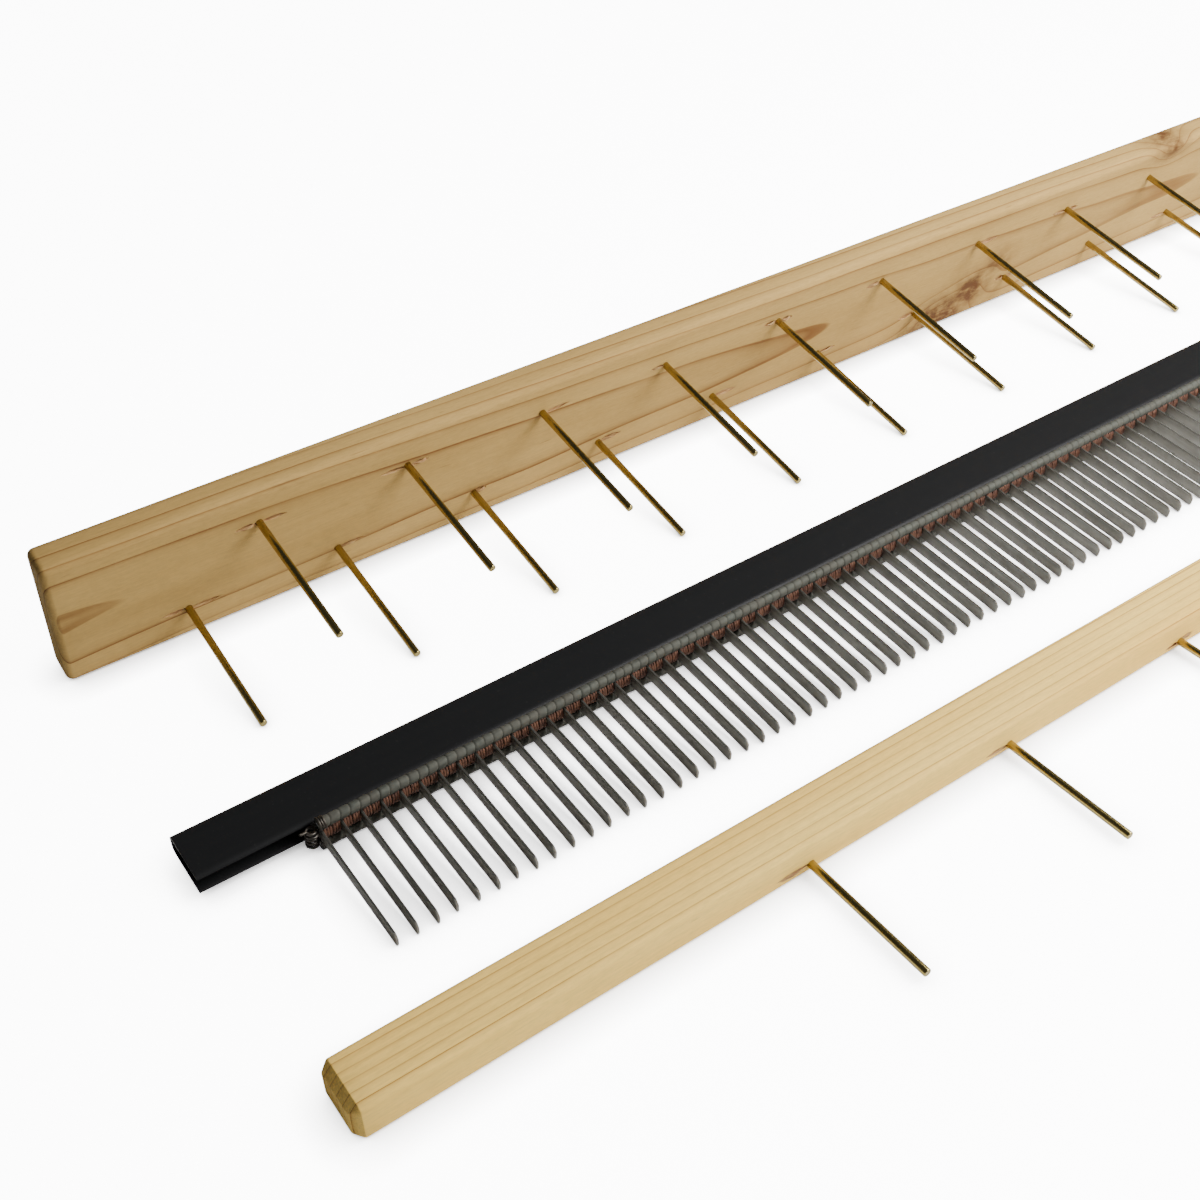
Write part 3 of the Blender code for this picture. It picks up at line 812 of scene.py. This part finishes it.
def build_ribs():
    for name, side, seed in (("upper_rib", 1, 5), ("lower_rib", -1, 6)):
        where = REED_PLACE @ Matrix.Translation((0, -RIB_FORWARD, DENT_MIDDLE + side * RIB_OFFSET))
        winding = smooth(wrapped_rib(seed), 60)
        add(name + "_winding", winding, where, REED, "wrap_steel", WRAP_STEEL, name + "_wrap")
        add(name + "_core", rib_core(), where, REED, "rod_steel", ROD_STEEL, name + "_rod")


TIE_TURNS = 5
TIE_POINTS = 28             # path points for each turn of a tie
TIE_PITCH = 0.0013
TIE_RADIUS = 0.0014
TIE_WIRE_RADIUS = 0.00045
TIE_TAIL = (0.0007, -0.0002, 0.00012)   # how the wire's loose end runs on
RING_COUNT = 3
RING_PITCH = 0.00072
RING_WIRE_RADIUS = 0.00034
RING_INSET = 0.0004                     # the outermost ring's distance from the rib's end


def ring_of_wire(center, radius, wire, slant):
    """One closed turn of round wire about the X direction."""
    around, sides = 26, 8
    points = []
    for k in range(around):
        a = 2 * pi * k / around
        out = Vector((0, cos(a), sin(a)))
        middle = center + radius * out + Vector((slant * sin(a), 0, 0))
        for j in range(sides):
            b = 2 * pi * j / sides
            points.append(middle + wire * (cos(b) * out + sin(b) * Vector((1, 0, 0))))
    return points, ring_faces(around, sides, closed_path=True)


def wire_mesh(name, path, radius, sides=10):
    """A round wire along a smooth path, with domed ends."""
    rings = []
    angles = [2 * pi * k / sides for k in range(sides)]
    up = Vector((0.3, 0.2, 1)).normalized()
    for i, point in enumerate(path):
        ahead = path[min(i + 1, len(path) - 1)] - path[max(i - 1, 0)]
        tangent = ahead.normalized()
        side = tangent.cross(up).normalized()
        lift = side.cross(tangent).normalized()
        up = lift
        thick = radius * (0.6 if i in (0, len(path) - 1) else 1.0)
        rings.append([point + thick * (cos(a) * side + sin(a) * lift) for a in angles])
    return smooth(mesh_of_rings(name, rings), 60)


def build_ties():
    """The dark wire that closes the binding at each end: an upright coil and turns round the ribs."""
    tail_x, tail_y, tail_z = TIE_TAIL
    for side, node in ((-1, "left_end_tie"), (1, "right_end_tie")):
        draw = random.Random(31 + side)
        low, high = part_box(node)
        middle = REED_PLACE.inverted() @ ((low + high) / 2)
        path = []
        for i in range(TIE_TURNS * TIE_POINTS + 1):
            angle = 2 * pi * i / TIE_POINTS
            loose = TIE_RADIUS * (1 + 0.10 * sin(angle * 0.37 + side) + 0.05 * sin(angle * 1.7))
            rise = (i / TIE_POINTS - TIE_TURNS / 2) * TIE_PITCH
            path.append(Vector((side * loose * cos(angle), loose * sin(angle), rise)))
        tail = path[-1]
        path += [tail + Vector((side * tail_x * k, tail_y * k, tail_z * k * k)) for k in range(1, 4)]
        mesh = wire_mesh(node + "_wire", path, TIE_WIRE_RADIUS)
        where = REED_PLACE @ Matrix.Translation((middle.x, middle.y, DENT_MIDDLE))
        add(node + "_wire", mesh, where, REED, "wrap_steel", TIE_STEEL, node)
        parts = []
        for height in (DENT_MIDDLE + RIB_OFFSET, DENT_MIDDLE - RIB_OFFSET):
            for turn in range(RING_COUNT):
                x = side * (RIB_LENGTH / 2 - RING_INSET - turn * RING_PITCH)
                center = Vector((x, -RIB_FORWARD, height))
                slant = draw.uniform(-0.00015, 0.00015)
                parts.append(ring_of_wire(center, RIB_RADIUS - 0.00002, RING_WIRE_RADIUS, slant))
        mesh = smooth(join_meshes(node + "_turns", parts), 60)
        add(node + "_turns", mesh, REED_PLACE, REED, "wrap_steel", TIE_STEEL)


# ---- build -------------------------------------------------------------------------------

lower_seats = [node_seat(node, DOUBLE_PLACE) for node in pin_nodes("lower_pin_")]
upper_seats = [node_seat(node, DOUBLE_PLACE) for node in pin_nodes("upper_pin_")]
front_seats = [node_seat(node, SINGLE_PLACE) for node in pin_nodes("front_pin_")]

wooden_bar("double_bar_board", "double_row_bar", DOUBLE_BAR, (0.0028, rounded_end(0.0022), LEVEL_END),
           DOUBLE_PLACE, DOUBLE, "tan_wood", TAN_WOOD, lower_seats + upper_seats, DOUBLE_PIN[1],
           seed=3, chance=0.72)
wooden_bar("single_bar_board", "single_row_bar", SINGLE_BAR, (0.0018, sanded_end(0.0023), UNEVEN_END),
           SINGLE_PLACE, SINGLE, "pale_wood", PALE_WOOD, front_seats, SINGLE_PIN[1], seed=8, chance=0.4)
add_pins("lower_pin_", DOUBLE_PIN, DOUBLE_PLACE, DOUBLE)
add_pins("upper_pin_", DOUBLE_PIN, DOUBLE_PLACE, DOUBLE)
add_pins("front_pin_", SINGLE_PIN, SINGLE_PLACE, SINGLE)
build_channel()
build_dents()
build_copper()
build_ribs()
build_ties()


# ---- floor, light and camera -------------------------------------------------------------

FLOOR_GLOW = 11.0           # extra brightness of floor and backdrop as the camera sees them directly
FLOOR_HALF = 6.0
CONTACT_REACH = 0.011       # how near an object has to be to shade the floor's glow


def build_floor():
    """A white floor that looks overexposed, its glow darkened close under the bars as a painted contact shadow."""
    s = Shader("pale_floor")
    soft = s.noise(1.0, (3, 3, 3), 2.0)
    s.finish(Base_Color=s.ramp(soft, (0.3, 0.90), (0.7, 0.93)), Roughness=0.9, Specular_IOR_Level=0.1)
    lens = s.node("LightPath").outputs["Is Camera Ray"]
    # Painted contact shadow: ambient occlusion dims the camera-only glow near the objects.
    open_sky = s.node("AmbientOcclusion", {"Distance": CONTACT_REACH}, samples=8).outputs["AO"]
    glow = s.math("MULTIPLY", s.math("POWER", open_sky, 2.0), FLOOR_GLOW)
    s.put(s.surface.inputs["Emission Color"], (1.0, 1.0, 1.0, 1.0))
    s.put(s.surface.inputs["Emission Strength"], s.math("MULTIPLY", lens, glow))
    mesh = bpy.data.meshes.new("floor")
    corners = [(FLOOR_HALF * x, FLOOR_HALF * y, 0) for x, y in ((-1, -1), (1, -1), (1, 1), (-1, 1))]
    mesh.from_pydata(corners, [], [(0, 1, 2, 3)])
    floor = bpy.data.objects.new("floor", mesh)
    mesh.materials.append(s.material)
    bpy.context.scene.collection.objects.link(floor)


def area_light(name, power, size, location, target):
    data = bpy.data.lights.new(name, "AREA")
    data.shape = "RECTANGLE"
    data.size, data.size_y = size
    data.energy = power
    light = bpy.data.objects.new(name, data)
    light.location = location
    light.rotation_euler = (Vector(target) - Vector(location)).to_track_quat("-Z", "Y").to_euler()
    bpy.context.scene.collection.objects.link(light)


def build_world():
    """A white cyclorama all round, under a dark ceiling."""
    world = bpy.data.worlds.new("studio")
    world.use_nodes = True
    tree = world.node_tree
    direction = tree.nodes.new("ShaderNodeTexCoord").outputs["Generated"]
    split = tree.nodes.new("ShaderNodeSeparateXYZ")
    tree.links.new(direction, split.inputs[0])
    ramp = tree.nodes.new("ShaderNodeValToRGB")
    tree.links.new(split.outputs[2], ramp.inputs[0])
    stops = ((0.0, 0.42), (0.16, 0.34), (0.36, 0.09), (1.0, 0.05))
    elements = ramp.color_ramp.elements
    while len(elements) < len(stops):
        elements.new(0.5)
    for element, (position, grey) in zip(elements, stops):
        element.position = position
        element.color = (grey, grey, grey, 1.0)
    background = tree.nodes["Background"]
    tree.links.new(ramp.outputs[0], background.inputs["Color"])
    lens = tree.nodes.new("ShaderNodeLightPath").outputs["Is Camera Ray"]
    strength = tree.nodes.new("ShaderNodeMath")
    strength.operation = "MULTIPLY_ADD"
    tree.links.new(lens, strength.inputs[0])
    strength.inputs[1].default_value = FLOOR_GLOW
    strength.inputs[2].default_value = 1.0
    tree.links.new(strength.outputs[0], background.inputs["Strength"])
    bpy.context.scene.world = world


def build_light():
    build_world()
    area_light("key", 13, (0.5, 0.5), (0.22, -0.24, 0.50), (0.02, -0.02, 0.0))
    area_light("front_fill", 2.5, (0.7, 0.4), (0.35, -0.75, 0.40), (0.12, 0.0, 0.0))
    area_light("back_fill", 2.5, (1.2, 0.3), (0.0, 1.1, 0.25), (0.0, 0.1, 0.0))


CAMERA_PLACE = (-0.4481, -0.2528, 0.2987)
CAMERA_YAW = radians(34.389)        # turned from +Y towards +X
CAMERA_DOWN = radians(39.583)
CAMERA_ROLL = radians(-1.307)
CAMERA_LENS = 44.42                 # on a 36 mm square sensor


def build_camera():
    data = bpy.data.cameras.new("camera")
    data.sensor_width = 36.0
    data.lens = CAMERA_LENS
    data.clip_start = 0.01
    camera = bpy.data.objects.new("camera", data)
    turn = (Matrix.Rotation(-CAMERA_YAW, 4, "Z") @ Matrix.Rotation(pi / 2 - CAMERA_DOWN, 4, "X")
            @ Matrix.Rotation(CAMERA_ROLL, 4, "Z"))
    camera.matrix_world = Matrix.Translation(CAMERA_PLACE) @ turn
    bpy.context.scene.collection.objects.link(camera)
    bpy.context.scene.camera = camera


build_floor()
build_light()
build_camera()
